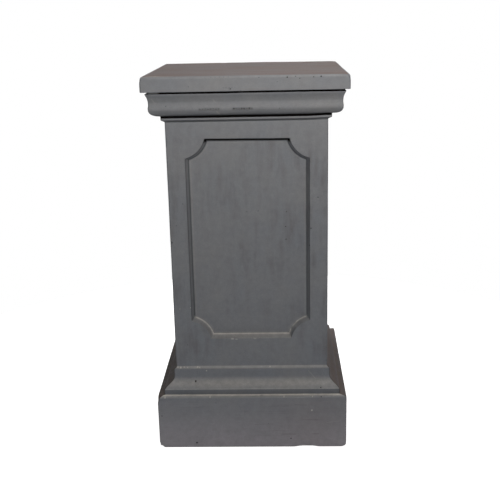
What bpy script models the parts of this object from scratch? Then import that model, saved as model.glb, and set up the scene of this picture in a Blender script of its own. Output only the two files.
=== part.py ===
"""Garden pedestal: one hollow casting, square in plan and open underneath.

Metres, +Z up. The origin is the middle of the underside, and the front looks towards -Y.
"""

from math import asin, cos, pi, radians, sin, sqrt, tan

import bmesh
import bpy
from mathutils import Vector
from mathutils.geometry import interpolate_bezier

# Overall
HEIGHT = 0.760
CORNER_ROUND = 0.003

# Cap slab
CAP_WIDTH = 0.391
SLAB_THICKNESS = 0.0275
SLAB_TOP_ROUND = 0.005
SLAB_DRIP_ROUND = 0.0015

# Quirk, the dark groove between the slab and the bed moulding
QUIRK_HEIGHT = 0.0025
QUIRK_DEPTH = 0.004

# Bed moulding under the slab: a hollow that runs down into a belly, which turns under to the neck
SLAB_OVERHANG = 0.007
HOLLOW_HEIGHT = 0.021
HOLLOW_DEPTH = 0.0055
BELLY_SWELL = 0.0009
BELLY_DROP = 0.008
BELLY_UNDER_HEIGHT = 0.0165

# Necking fillet between the bed moulding and the die, with its lower edge chamfered
NECK_HEIGHT = 0.012
NECK_PROJECTION = 0.0068
NECK_CHAMFER = 0.004

# Die, the tall middle block
DIE_WIDTH = 0.3134

# Sunk panel on each face of the die, with splayed edges and scooped corners
PANEL_SIDE_MARGIN = 0.0355
PANEL_TOP_MARGIN = 0.0328
PANEL_FOOT_MARGIN = 0.0615
PANEL_DEPTH = 0.0137
PANEL_SPLAY = 0.0060
SCOOP_SIZE = 0.0385
SCOOP_BOW = 0.0080

# Base moulding, from the die down to the plinth
WEATHERING = 0.0048
UPPER_FILLET_HEIGHT = 0.0125
CYMA_PROJECTION = 0.0195
CYMA_HEIGHT = 0.0242
CYMA_LIP_ANGLE = radians(33)
LOWER_FILLET_HEIGHT = 0.0108

# Plinth
PLINTH_WIDTH = 0.388
PLINTH_HEIGHT = 0.114
PLINTH_TOP_ROUND = 0.0035
PLINTH_FOOT_ROUND = 0.0015

# Hollow inside the casting, left by a core that draws out downwards
DIE_WALL = 0.020
PLINTH_WALL = 0.024
CAP_ROOF = 0.030
PLINTH_ROOF = 0.022
CORE_SLOPE = radians(50)
CORE_DRAFT = 0.003
CORE_ROUND = 0.012

# Pull of the curves' ends, as shares of the curve's own height or projection
HOLLOW_WAIST_PULL = 0.49
HOLLOW_TOP_PULL = (0.58, 0.31)
BELLY_PULL = 0.45
UNDER_NECK_PULL = (0.59, 0.08)
UNDER_BELLY_PULL = 0.68
CYMA_LIP_PULL = 0.50
CYMA_TOP_PULL = 0.59

# Fineness of the curved runs
CORNER_STEPS = 3
ROUND_STEPS = 3
CURVE_STEPS = 8
SCOOP_STEPS = 8

# How far a cutter stands out past the face that it cuts
CUT_MARGIN = 0.006

# Cast stone with a dark slate-grey face
CAST_COLOUR = (0.130, 0.134, 0.142, 1.0)
CAST_ROUGHNESS = 0.72
CAST_METALLIC = 0.0


def clear_scene():
    """Remove every object that the scene starts with."""
    for thing in list(bpy.data.objects):
        bpy.data.objects.remove(thing, do_unlink=True)


def make_collection(name):
    """Make a collection under the scene's own."""
    group = bpy.data.collections.new(name)
    bpy.context.scene.collection.children.link(group)
    return group


def cast_stone():
    """Make the casting's material."""
    material = bpy.data.materials.new("slate_grey_cast_stone")
    material.use_nodes = True
    shader = material.node_tree.nodes["Principled BSDF"]
    shader.inputs["Base Color"].default_value = CAST_COLOUR
    shader.inputs["Roughness"].default_value = CAST_ROUGHNESS
    shader.inputs["Metallic"].default_value = CAST_METALLIC
    return material


def smooth_run(start, start_pull, end_pull, end, steps=CURVE_STEPS):
    """Points of a curved run of the section, between two points (half width, height)."""
    knots = [Vector((*point, 0.0)) for point in (start, start_pull, end_pull, end)]
    return [(point.x, point.y) for point in interpolate_bezier(*knots, steps + 1)]


def lower_round(half, height, radius):
    """Points of the quarter round on a lower edge of the section, from its underside out and up."""
    turns = [pi / 2 * step / ROUND_STEPS for step in range(ROUND_STEPS + 1)]
    return [(half - radius * (1 - sin(turn)), height + radius * (1 - cos(turn))) for turn in turns]


def upper_round(half, height, radius):
    """Points of the quarter round on an upper edge of the section, from its face up and in."""
    turns = [pi / 2 * step / ROUND_STEPS for step in range(ROUND_STEPS + 1)]
    return [(half - radius * (1 - cos(turn)), height - radius * (1 - sin(turn))) for turn in turns]


def base_levels():
    """Heights in the base moulding: its lip, the top of its curve, its fillet and the die's foot."""
    lip = PLINTH_HEIGHT + LOWER_FILLET_HEIGHT
    curve_top = lip + CYMA_HEIGHT
    fillet_top = curve_top + UPPER_FILLET_HEIGHT
    return lip, curve_top, fillet_top, fillet_top + WEATHERING


def cap_levels():
    """Heights in the cap: the die's top, the neck's top, the bed moulding's top and the slab's foot."""
    slab_foot = HEIGHT - SLAB_THICKNESS
    bed_top = slab_foot - QUIRK_HEIGHT
    neck_top = bed_top - HOLLOW_HEIGHT - BELLY_DROP - BELLY_UNDER_HEIGHT
    return neck_top - NECK_HEIGHT, neck_top, bed_top, slab_foot


def base_section():
    """Section of the plinth and the base moulding, from the foot up to the die."""
    plinth = PLINTH_WIDTH / 2
    fillet = DIE_WIDTH / 2 + WEATHERING
    lip_half = fillet + CYMA_PROJECTION
    lip, curve_top, fillet_top, die_foot = base_levels()
    lip_pull = CYMA_HEIGHT * CYMA_LIP_PULL
    return [
        *lower_round(plinth, 0.0, PLINTH_FOOT_ROUND),
        *upper_round(plinth, PLINTH_HEIGHT, PLINTH_TOP_ROUND),
        (lip_half, PLINTH_HEIGHT),
        *smooth_run(
            (lip_half, lip),
            (lip_half - lip_pull * sin(CYMA_LIP_ANGLE), lip + lip_pull * cos(CYMA_LIP_ANGLE)),
            (fillet, curve_top - CYMA_HEIGHT * CYMA_TOP_PULL),
            (fillet, curve_top)),
        (fillet, fillet_top),
        (DIE_WIDTH / 2, die_foot)]


def bed_section(neck, bed, neck_top, bed_top):
    """Section of the bed moulding, from the neck out under the belly and up its hollow."""
    waist = bed - HOLLOW_DEPTH
    belly = waist + BELLY_SWELL
    waist_height = bed_top - HOLLOW_HEIGHT
    belly_height = waist_height - BELLY_DROP
    under = smooth_run(
        (neck, neck_top),
        (neck + (belly - neck) * UNDER_NECK_PULL[0], neck_top + BELLY_UNDER_HEIGHT * UNDER_NECK_PULL[1]),
        (belly, belly_height - BELLY_UNDER_HEIGHT * UNDER_BELLY_PULL),
        (belly, belly_height))
    swell = smooth_run(
        (belly, belly_height),
        (belly, belly_height + BELLY_DROP * BELLY_PULL),
        (waist, waist_height - BELLY_DROP * BELLY_PULL),
        (waist, waist_height),
        CURVE_STEPS // 2)
    hollow = smooth_run(
        (waist, waist_height),
        (waist, waist_height + HOLLOW_HEIGHT * HOLLOW_WAIST_PULL),
        (bed - HOLLOW_DEPTH * HOLLOW_TOP_PULL[0], bed_top - HOLLOW_HEIGHT * HOLLOW_TOP_PULL[1]),
        (bed, bed_top))
    return under + swell[1:] + hollow[1:]


def cap_section():
    """Section of the neck, the bed moulding and the slab, from the die up to the top."""
    die = DIE_WIDTH / 2
    neck = die + NECK_PROJECTION
    slab = CAP_WIDTH / 2
    bed = slab - SLAB_OVERHANG
    die_top, neck_top, bed_top, slab_foot = cap_levels()
    return [
        (die, die_top),
        (neck, die_top + NECK_CHAMFER),
        *bed_section(neck, bed, neck_top, bed_top),
        (bed - QUIRK_DEPTH, bed_top),
        (bed - QUIRK_DEPTH, slab_foot),
        *lower_round(slab, slab_foot, SLAB_DRIP_ROUND),
        *upper_round(slab, HEIGHT, SLAB_TOP_ROUND)]


def core_section():
    """Section of the hollow, from its roof down to the foot."""
    die_core = DIE_WIDTH / 2 - PANEL_DEPTH - DIE_WALL
    plinth_core = PLINTH_WIDTH / 2 - PLINTH_WALL
    shoulder = PLINTH_HEIGHT - PLINTH_ROOF
    return [
        (die_core - CORE_DRAFT, HEIGHT - CAP_ROOF),
        (die_core, shoulder + (plinth_core - die_core) * tan(CORE_SLOPE)),
        (plinth_core, shoulder),
        (plinth_core, 0.0)]


def square_ring(half, height, radius):
    """Corners of a level square with rounded corners, in order round it."""
    points = []
    for quarter in range(4):
        diagonal = pi / 4 + quarter * pi / 2
        centre_x = (half - radius) * sqrt(2) * cos(diagonal)
        centre_y = (half - radius) * sqrt(2) * sin(diagonal)
        for step in range(CORNER_STEPS + 1):
            angle = (quarter + step / CORNER_STEPS) * pi / 2
            points.append(Vector((centre_x + radius * cos(angle), centre_y + radius * sin(angle), height)))
    return points


def panel_outline(growth):
    """Outline of the panel, larger all round by the growth, as points (across, up).

    It is a rectangle whose corners are scooped out by arcs. Their centres lie just outside it.
    """
    half = DIE_WIDTH / 2 - PANEL_SIDE_MARGIN
    low = base_levels()[-1] + PANEL_FOOT_MARGIN
    high = cap_levels()[0] - PANEL_TOP_MARGIN
    half_chord = SCOOP_SIZE / sqrt(2)
    radius = (half_chord ** 2 + SCOOP_BOW ** 2) / (2 * SCOOP_BOW)
    outset = (radius - SCOOP_BOW - half_chord) / sqrt(2)
    reach = radius - growth
    tilt = asin((outset - growth) / reach)
    sweep = pi / 2 - 2 * tilt
    points = []
    for quarter in range(4):
        centre_x = half + outset if quarter in (0, 3) else -half - outset
        centre_z = high + outset if quarter in (0, 1) else low - outset
        start = (quarter - 1) * pi / 2 - tilt
        for step in range(SCOOP_STEPS + 1):
            angle = start - sweep * step / SCOOP_STEPS
            points.append((centre_x + reach * cos(angle), centre_z + reach * sin(angle)))
    return points


def place_ring(face, points):
    """Move the corners of a face onto the points of a ring."""
    for corner, point in zip(face.verts, points, strict=True):
        corner.co = point


def loft(rings):
    """Close one body over rings of as many points, by extruding a face from each ring to the next."""
    shape = bmesh.new()
    bmesh.ops.create_circle(shape, cap_ends=True, segments=len(rings[0]), radius=1.0)
    shape.faces.ensure_lookup_table()
    face = shape.faces[0]
    place_ring(face, rings[0])
    for number, ring in enumerate(rings[1:]):
        made = bmesh.ops.extrude_face_region(shape, geom=[face])["geom"]
        if number > 0:
            bmesh.ops.delete(shape, geom=[face], context='FACES_ONLY')
        face = next(item for item in made if isinstance(item, bmesh.types.BMFace))
        place_ring(face, ring)
    bmesh.ops.recalc_face_normals(shape, faces=shape.faces)
    return shape


def mesh_object(name, shape, group):
    """Put a finished shape in a collection as an object."""
    mesh = bpy.data.meshes.new(name)
    shape.to_mesh(mesh)
    shape.free()
    thing = bpy.data.objects.new(name, mesh)
    group.objects.link(thing)
    return thing


def make_casting(group):
    """Make the casting: its skin runs from the hollow's roof down, round the foot and up to the top."""
    inside = [square_ring(half, height, CORE_ROUND) for half, height in core_section()]
    outside = [square_ring(half, height, CORNER_ROUND) for half, height in base_section() + cap_section()]
    return mesh_object("pedestal", loft(inside + outside), group)


def make_panel_cutter(quarter, group):
    """Make the cutter that sinks the panel into one face of the die."""
    overrun = CUT_MARGIN * PANEL_SPLAY / PANEL_DEPTH
    face = DIE_WIDTH / 2
    sections = ((face + CUT_MARGIN, overrun), (face - PANEL_DEPTH, -PANEL_SPLAY))
    rings = [[Vector((across, -reach, up)) for across, up in panel_outline(growth)] for reach, growth in sections]
    cutter = mesh_object(f"panel_cutter_{quarter + 1}", loft(rings), group)
    cutter.rotation_euler.z = quarter * pi / 2
    cutter.display_type = 'WIRE'
    cutter.hide_render = True
    return cutter


def sink_panel(casting, cutter):
    """Cut a panel into the casting."""
    cut = casting.modifiers.new(cutter.name, 'BOOLEAN')
    cut.operation = 'DIFFERENCE'
    cut.solver = 'EXACT'
    cut.object = cutter


def main():
    """Build the pedestal."""
    clear_scene()
    parts = make_collection("garden_pedestal")
    cutters = make_collection("cutters")
    casting = make_casting(parts)
    casting.data.materials.append(cast_stone())
    for quarter in range(4):
        sink_panel(casting, make_panel_cutter(quarter, cutters))


main()
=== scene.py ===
"""Garden pedestal: the finished casting with its wear and weathering, a camera and a small studio.

Metres, +Z up. The front looks towards -Y, and +X is to its right.
"""

import logging
from dataclasses import dataclass, field
from enum import Enum, IntEnum
from math import asin, cos, exp, pi, radians, sin, sqrt, tan
from random import Random
from typing import Any

import bmesh
import bpy
from mathutils import Matrix, Vector, noise
from mathutils.bvhtree import BVHTree
from mathutils.geometry import interpolate_bezier

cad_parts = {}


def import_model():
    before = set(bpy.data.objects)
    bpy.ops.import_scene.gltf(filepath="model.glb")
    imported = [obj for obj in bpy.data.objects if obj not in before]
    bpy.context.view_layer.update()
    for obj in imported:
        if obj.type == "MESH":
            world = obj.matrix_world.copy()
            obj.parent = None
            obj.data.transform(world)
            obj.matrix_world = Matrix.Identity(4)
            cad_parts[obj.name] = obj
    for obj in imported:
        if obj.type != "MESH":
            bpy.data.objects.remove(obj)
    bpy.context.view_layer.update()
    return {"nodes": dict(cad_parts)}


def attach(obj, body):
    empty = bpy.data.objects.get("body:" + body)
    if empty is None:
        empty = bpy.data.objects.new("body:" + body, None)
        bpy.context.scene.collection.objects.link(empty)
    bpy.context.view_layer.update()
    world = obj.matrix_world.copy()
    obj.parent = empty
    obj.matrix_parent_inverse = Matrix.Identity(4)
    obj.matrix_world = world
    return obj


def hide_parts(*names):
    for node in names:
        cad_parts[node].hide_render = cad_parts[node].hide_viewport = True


LOG = logging.getLogger("garden_pedestal")
MM = 0.001

Profile = list[tuple[float, float]]


class Face(Enum):
    """A side of the pedestal. The upright ones are numbered by quarter turns from the front."""

    FRONT = 0
    RIGHT = 1
    BACK = 2
    LEFT = 3
    TOP = 4

    def turn(self) -> Matrix:
        """Rotation that carries the front onto this side, or nothing for the top."""
        return Matrix.Rotation((self.value % 4) * pi / 2, 3, "Z")


class Stain(Enum):
    """What lies on the face. Each is an attribute of the mesh, a share from none to all."""

    # Grime and painted shade: the smudges and splashes are grime, the black in the creases and round the
    # panels is painted shade, and the pinholes and side mouldings hold both.
    GRIME = "grime"
    # Painted shade: a darkening under the cap, on the lower fillet's face, along the upright corners and over
    # the top.
    FILM = "film"
    # Dust and painted highlight: pale on what looks up and on the brows, and a painted highlight on the top's
    # right.
    DUST = "dust"
    CLAY = "clay"
    BARE = "bare"


Stains = dict[Stain, float]


class Finish(IntEnum):
    """Where each of the casting's materials stands in its list."""

    STONE = 0
    RAW = 1
    # Black painted shade in the creases and pits, with some dirt in the pinholes.
    DIRT = 2


class Blemish(Enum):
    """A kind of small mark: what it shows, and how deep it is for its half width."""

    # A pinhole's dark fill is painted shade with some dirt.
    PINHOLE = (Stain.GRIME, 0.9)
    SCRATCH = (Stain.BARE, 0.08)
    SMUDGE = (Stain.GRIME, 0.0)
    FLECK = (Stain.BARE, 0.3)

    def stain(self) -> Stain:
        """The stain that it shows."""
        return self.value[0]

    def depth(self) -> float:
        """Its depth, as a share of its half width."""
        return self.value[1]


def linear(code: str) -> tuple[float, float, float, float]:
    """Turn an sRGB hex colour to a linear one.

    Args:
        code: The colour, such as "#8a8a8c".

    Returns:
        Red, green, blue and an alpha of one.
    """
    parts = [int(code[start:start + 2], 16) / 255 for start in (1, 3, 5)]
    red, green, blue = (
        part / 12.92 if part <= 0.04045 else ((part + 0.055) / 1.055) ** 2.4 for part in parts)
    return red, green, blue, 1.0


def curved_run(start: Any, start_pull: Any, end_pull: Any, end: Any, steps: int) -> Profile:
    """Points of a curved run of the section, between two points (half width, height).

    Args:
        start: Where the run starts.
        start_pull: The point that pulls on its start.
        end_pull: The point that pulls on its end.
        end: Where it ends.
        steps: How many straight pieces it has.

    Returns:
        The run's points, with both ends.
    """
    knots = [Vector((*point, 0.0)) for point in (start, start_pull, end_pull, end)]
    return [(point.x, point.y) for point in interpolate_bezier(*knots, steps + 1)]


def softened(
        points: Profile, reach: float, steps: int = 3, least_turn: float = radians(27),
        most_of_run: float = 0.4) -> Profile:
    """Round the corners of a section, as a casting's arrises and creases are.

    Args:
        points: The section's points.
        reach: How far from the corner the rounding starts, at most.
        steps: How many straight pieces each rounding has.
        least_turn: The smallest turn that is rounded.
        most_of_run: The largest share of the run beside a corner that its rounding takes.

    Returns:
        The section with its corners rounded.
    """
    rounded = [points[0]]
    for before, corner, after in zip(points, points[1:], points[2:]):
        middle = Vector(corner)
        back = Vector(before) - middle
        ahead = Vector(after) - middle
        if back.angle(-ahead) < least_turn:
            rounded.append(corner)
            continue
        cut = min(reach, most_of_run * back.length, most_of_run * ahead.length)
        start = middle + back.normalized() * cut
        end = middle + ahead.normalized() * cut
        for step in range(steps + 1):
            share = step / steps
            point = start.lerp(middle, share).lerp(middle.lerp(end, share), share)
            rounded.append((point.x, point.y))
    rounded.append(points[-1])
    return rounded


def fade(distance: float, width: float) -> float:
    """One at no distance, falling off smoothly over the width."""
    return exp(-(distance / width) ** 2)


def rise(value: float, low: float, high: float) -> float:
    """Smooth step from zero at the low value to one at the high one."""
    share = min(1.0, max(0.0, (value - low) / (high - low)))
    return share * share * (3 - 2 * share)


@dataclass(frozen=True)
class Ramp:
    """Where something sets in, as a smooth step from zero at its low end to one at its high end."""

    low: float
    high: float

    def at(self, value: float) -> float:
        """How far it has set in at a value."""
        return rise(value, self.low, self.high)


@dataclass(frozen=True)
class Spread:
    """How a stain thins out on both sides of its middle, with its share there."""

    middle: float
    reach: float
    share: float

    def at(self, distance: float) -> float:
        """Its share at a distance."""
        return self.share * fade(distance - self.middle, self.reach)


@dataclass
class Base:
    """Plinth and the base moulding on it, a cyma between two fillets.

    The ramps of the slope, the plinth's brow and the ledge start from the base's top, the plinth's top and
    the lower fillet's face, and those of the cyma from its top, as shares of its height.
    """

    top: float = 0.1663
    plinth_width: float = 0.388
    plinth_height: float = 0.114
    top_round: float = 0.0035
    foot_round: float = 0.0015
    weathering: float = 0.0048
    upper_fillet: float = 0.0125
    cyma_projection: float = 0.0195
    cyma_height: float = 0.0242
    cyma_lip_angle: float = radians(33)
    lower_fillet: float = 0.0108
    lip_pull: float = 0.50
    top_pull: float = 0.59
    round_steps: int = 4
    curve_steps: int = 14
    # What lies on it, with its painted shade and highlight: shares, and where each sets in or how it thins
    # out.
    slope_dust_and_highlight: float = 0.27
    slope_start: Ramp = Ramp(-4.6 * MM, -2.4 * MM)
    slope_end: Ramp = Ramp(0.2 * MM, 1.4 * MM)
    cyma_dust_and_highlight: float = 0.31
    cyma_start: Ramp = Ramp(0.12, 0.62)
    cyma_wear: float = 0.45
    cyma_wear_start: Ramp = Ramp(0.66, 0.92)
    cyma_toe_dust_and_highlight: float = 0.5
    cyma_toe: Ramp = Ramp(0.95, 1.0)
    brow_dust_and_highlight: float = 0.24
    brow: Ramp = Ramp(-3.0 * MM, 0.0)
    ledge_slack: float = 0.4 * MM
    ledge_start: Ramp = Ramp(-0.2 * MM, 0.5 * MM)
    ledge_wear: float = 0.70
    ledge_wear_from: float = 2 * MM
    fillet_shade: float = 0.5
    splash_clay: Spread = Spread(0.0, 14 * MM, 0.45)
    splash_grime: Spread = Spread(0.0, 14 * MM, 0.22)
    side_clay: float = 0.45
    side_dust_and_highlight: float = 0.15
    right_grime_and_shade: float = 0.34
    left_grime_and_shade: float = 0.55
    grime_and_shade_thinning: float = 0.6
    grime_and_shade_thinning_start: Ramp = Ramp(0.02, 0.17)
    plinth_clay: float = 0.03
    patch_middle: tuple[float, float] = (0.13, 0.06)
    patch_clay: Spread = Spread(0.0, 0.075, 0.15)
    side_plinth_clay: float = 0.05
    run_off_clay: Spread = Spread(0.0, 16 * MM, 0.5)
    run_off_grime: Spread = Spread(0.0, 10 * MM, 0.16)

    def section(self, die: float) -> Profile:
        """Section from the foot up to the die.

        Args:
            die: Half the die's width.

        Returns:
            Points (half width, height), from the underside to the die's foot.
        """
        plinth = self.plinth_width / 2
        fillet = die + self.weathering
        lip_half = fillet + self.cyma_projection
        lip = self.plinth_height + self.lower_fillet
        curve_top = lip + self.cyma_height
        pull = self.cyma_height * self.lip_pull
        turns = [pi / 2 * step / self.round_steps for step in range(self.round_steps + 1)]
        foot = [
            (plinth - self.foot_round * (1 - sin(turn)), self.foot_round * (1 - cos(turn))) for turn in turns]
        shoulder = [
            (plinth - self.top_round * (1 - cos(turn)), self.plinth_height - self.top_round * (1 - sin(turn)))
            for turn in turns]
        cyma = curved_run(
            (lip_half, lip),
            (lip_half - pull * sin(self.cyma_lip_angle), lip + pull * cos(self.cyma_lip_angle)),
            (fillet, curve_top - self.cyma_height * self.top_pull),
            (fillet, curve_top),
            self.curve_steps)
        return [
            *foot, *shoulder, (lip_half, self.plinth_height), *cyma,
            (fillet, curve_top + self.upper_fillet), (die, self.top)]

    def stains(self, half: float, height: float, die: float) -> Stains:
        """What lies on the base: pale dust with painted highlight on whatever looks up, most of all on the
        two ledges.

        Args:
            half: Distance of the place from the middle, across the side.
            height: Its height.
            die: Half the die's width.

        Returns:
            The shares of each stain there.
        """
        lip = self.plinth_height + self.lower_fillet
        if height > lip:
            above = height - self.top
            sloped = self.slope_start.at(above) * (1 - self.slope_end.at(above))
            drop = (lip + self.cyma_height - height) / self.cyma_height
            swept = self.cyma_start.at(drop) * (1 - self.cyma_wear * self.cyma_wear_start.at(drop))
            swept += self.cyma_toe_dust_and_highlight * self.cyma_toe.at(drop)
            # Dust with painted highlight on the weathering slope and the cyma, which look up.
            return {Stain.DUST: max(self.slope_dust_and_highlight * sloped, self.cyma_dust_and_highlight * swept)}
        # Dust with painted highlight along the plinth's brow.
        if height < self.plinth_height - self.ledge_slack:
            return {Stain.DUST: self.brow_dust_and_highlight * self.brow.at(height - self.plinth_height)}
        fillet_face = die + self.weathering + self.cyma_projection
        ledge_end = self.plinth_width / 2 - self.top_round
        on_ledge = self.ledge_start.at(half - fillet_face)
        worn = 1 - self.ledge_wear * rise(half, fillet_face + self.ledge_wear_from, ledge_end)
        # Dust with painted highlight on the ledge, and painted shade on the lower fillet's face.
        return {Stain.DUST: on_ledge * worn, Stain.FILM: self.fillet_shade * (1 - on_ledge)}

    def muddy(self, found: Stains, place: Vector, aside: bool) -> None:
        """Add the brown dirt: thick on the mouldings of the left and right sides, thin on the plinth. The
        side mouldings also take grime and painted shade, deeper on the left, away from the light.

        Args:
            found: The stains that lie there already.
            place: The place.
            aside: Whether it is on the left or right side.
        """
        drop = self.plinth_height - place.z
        if place.z > self.plinth_height + self.brow.low:
            if aside:
                dust = found.get(Stain.DUST, 0.0)
                # Grime with painted shade: the left side is darker, as the light comes from the right.
                grime = self.right_grime_and_shade if place.x > 0 else self.left_grime_and_shade
                found[Stain.CLAY] = min(1.0, self.side_clay + dust)
                found[Stain.DUST] = self.side_dust_and_highlight * dust
                found[Stain.GRIME] = grime * (1 - self.grime_and_shade_thinning * self.grime_and_shade_thinning_start.at(place.y))
        elif aside:
            found[Stain.CLAY] = self.side_plinth_clay + self.run_off_clay.at(drop)
            found[Stain.GRIME] = self.run_off_grime.at(drop)
        else:
            away = (Vector((place.x, place.z)) - Vector(self.patch_middle)).length
            found[Stain.CLAY] = self.plinth_clay + self.patch_clay.at(away) * (place.y < 0)


@dataclass
class Cap:
    """Neck, bed moulding and slab at the top of the pedestal.

    The ramps of the hollow's painted shade start from the belly and from the bed's top, those under the belly
    from the belly and from the neck's face, and those of the neck from its top, its chamfer and the die.
    """

    height: float = 0.760
    width: float = 0.391
    slab: float = 0.0291
    top_round: float = 0.005
    drip_round: float = 0.0015
    quirk_height: float = 0.0034
    quirk_depth: float = 0.004
    overhang: float = 0.007
    hollow_height: float = 0.0199
    hollow_depth: float = 0.0055
    belly_swell: float = 0.0009
    belly_drop: float = 0.008
    belly_under: float = 0.0164
    neck_height: float = 0.0118
    neck_projection: float = 0.0068
    neck_chamfer: float = 0.004
    shade: float = 0.0035
    shade_fade: float = 0.8 * MM
    under_neck_pull: tuple[float, float] = (0.59, 0.08)
    under_belly_pull: float = 0.68
    swell_pull: float = 0.45
    hollow_waist_pull: float = 0.49
    hollow_top_pull: tuple[float, float] = (0.58, 0.31)
    round_steps: int = 4
    curve_steps: int = 12
    # What lies on it, with its painted shade and highlight: shares, and where each sets in. The slacks allow
    # for the wander of the face.
    slab_slack: float = 0.1 * MM
    bed_slack: float = 0.3 * MM
    neck_slack: float = 0.4 * MM
    drip_shade: float = 0.4
    hollow_shade: float = 0.8
    hollow_shade_start: Ramp = Ramp(9 * MM, 14 * MM)
    hollow_shade_end: Ramp = Ramp(-4.0 * MM, -2.4 * MM)
    under_shade: float = 0.9
    under_shade_end: Ramp = Ramp(-4.0 * MM, -1.4 * MM)
    under_black_shade_end: Ramp = Ramp(6 * MM, 14 * MM)
    shade_start: Ramp = Ramp(-0.7 * MM, 0.0)
    chamfer_shade: float = 0.45
    chamfer_start: Ramp = Ramp(-0.8 * MM, -0.2 * MM)
    chamfer_end: Ramp = Ramp(0.0, MM)
    smear: tuple[float, float] = (-0.187, -0.163)
    smear_thinning: float = 0.5
    flat_from: float = 0.9
    flat_edge: Ramp = Ramp(-6 * MM, -3.4 * MM)
    top_clay: float = 0.88
    brow_dust_and_highlight: float = 0.06
    right_highlight: float = 0.02
    right_highlight_start: Ramp = Ramp(0.0, 0.17)
    top_shade: float = 0.12
    left_shade: float = 0.55
    left_shade_end: Ramp = Ramp(-0.19, 0.12)

    def slab_foot(self) -> float:
        """Height of the slab's underside."""
        return self.height - self.slab

    def bed_top(self) -> float:
        """Height of the bed moulding's top, under the quirk."""
        return self.slab_foot() - self.quirk_height

    def neck_top(self) -> float:
        """Height of the crease between the neck and the belly."""
        return self.bed_top() - self.hollow_height - self.belly_drop - self.belly_under

    def die_top(self) -> float:
        """Height of the crease between the die and the neck."""
        return self.neck_top() - self.neck_height

    def bed(self) -> float:
        """Half width of the bed moulding at its top."""
        return self.width / 2 - self.overhang

    def bed_section(self, neck: float) -> Profile:
        """Section of the bed moulding, from the neck out under the belly and up its hollow.

        Args:
            neck: Half the neck's width.

        Returns:
            Points (half width, height).
        """
        waist = self.bed() - self.hollow_depth
        belly = waist + self.belly_swell
        waist_height = self.bed_top() - self.hollow_height
        belly_height = waist_height - self.belly_drop
        under = curved_run(
            (neck, self.neck_top()),
            (neck + (belly - neck) * self.under_neck_pull[0],
             self.neck_top() + self.belly_under * self.under_neck_pull[1]),
            (belly, belly_height - self.belly_under * self.under_belly_pull),
            (belly, belly_height),
            self.curve_steps)
        swell = curved_run(
            (belly, belly_height),
            (belly, belly_height + self.belly_drop * self.swell_pull),
            (waist, waist_height - self.belly_drop * self.swell_pull),
            (waist, waist_height),
            self.curve_steps // 3)
        hollow = curved_run(
            (waist, waist_height),
            (waist, waist_height + self.hollow_height * self.hollow_waist_pull),
            (self.bed() - self.hollow_depth * self.hollow_top_pull[0],
             self.bed_top() - self.hollow_height * self.hollow_top_pull[1]),
            (self.bed(), self.bed_top()),
            self.curve_steps)
        return under + swell[1:] + hollow[1:]

    def section(self, die: float) -> Profile:
        """Section of the whole cap.

        Args:
            die: Half the die's width.

        Returns:
            Points (half width, height), from the die up to the flat top.
        """
        neck = die + self.neck_projection
        half = self.width / 2
        turns = [pi / 2 * step / self.round_steps for step in range(self.round_steps + 1)]
        drip = [
            (half - self.drip_round * (1 - sin(turn)),
             self.slab_foot() + self.drip_round * (1 - cos(turn)))
            for turn in turns]
        brow = [
            (half - self.top_round * (1 - cos(turn)), self.height - self.top_round * (1 - sin(turn)))
            for turn in turns]
        return [
            (die, self.die_top()),
            (neck, self.die_top() + self.neck_chamfer),
            (neck, self.neck_top() - self.shade - self.shade_fade),
            (neck, self.neck_top() - self.shade),
            *self.bed_section(neck),
            (self.bed() - self.quirk_depth, self.bed_top()),
            (self.bed() - self.quirk_depth, self.slab_foot()),
            *drip,
            *brow]

    def stains(self, half: float, height: float, die: float) -> Stains:
        """What lies under the slab: black painted shade in the quirk, under the belly and on the neck, and
        lighter painted shade over the hollow and under the belly.

        Args:
            half: Distance of the place from the middle, across the side.
            height: Its height.
            die: Half the die's width.

        Returns:
            The shares of each stain there.
        """
        neck = die + self.neck_projection
        belly_height = self.bed_top() - self.hollow_height - self.belly_drop
        if height > self.slab_foot() + self.slab_slack:
            return {}
        # Black painted shade in the quirk, lighter on the drip's rounding.
        if height >= self.bed_top() - self.bed_slack:
            return {Stain.GRIME: 1.0 if half < self.width / 2 - self.drip_round else self.drip_shade}
        # Lighter painted shade over the hollow, under the slab's overhang.
        if height > belly_height:
            hollow = self.hollow_shade_start.at(height - belly_height)
            lip = self.hollow_shade_end.at(height - self.bed_top())
            return {Stain.FILM: self.hollow_shade * hollow * (1 - lip)}
        # Painted shade under the belly, black towards the neck.
        if height > self.neck_top() + self.bed_slack or half > neck + self.neck_slack:
            return {
                Stain.FILM: self.under_shade * (1 - self.under_shade_end.at(height - belly_height)),
                Stain.GRIME: 1 - self.under_black_shade_end.at(half - neck)}
        # Black painted shade along the neck's top, and a darker line of it on the chamfer.
        shaded = self.shade_start.at(height - self.neck_top() + self.shade)
        above = height - self.die_top()
        chamfer = (1 - self.chamfer_end.at(above - self.neck_chamfer)) * self.chamfer_start.at(above)
        return {Stain.GRIME: max(shaded, self.chamfer_shade * chamfer)}

    def top_stains(self, half: float, right: float) -> Stains:
        """What lies on the flat top: brown dirt, dust with painted highlight on the brow, painted highlight
        to the right, and painted shade over the flat that deepens to the left.

        Args:
            half: Distance of the place from the middle, across the nearest side.
            right: How far it is to the right of the middle.

        Returns:
            The shares of each stain there.
        """
        flat = 1 - self.flat_edge.at(half - self.width / 2)
        # Dust with painted highlight on the brow, painted highlight to the right and painted shade deepening
        # to the left, as the light comes from the right.
        return {
            Stain.CLAY: self.top_clay * flat,
            Stain.DUST: self.brow_dust_and_highlight * (1 - flat) + self.right_highlight * self.right_highlight_start.at(right),
            Stain.FILM: (self.top_shade + self.left_shade * (1 - self.left_shade_end.at(right))) * flat}


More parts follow.
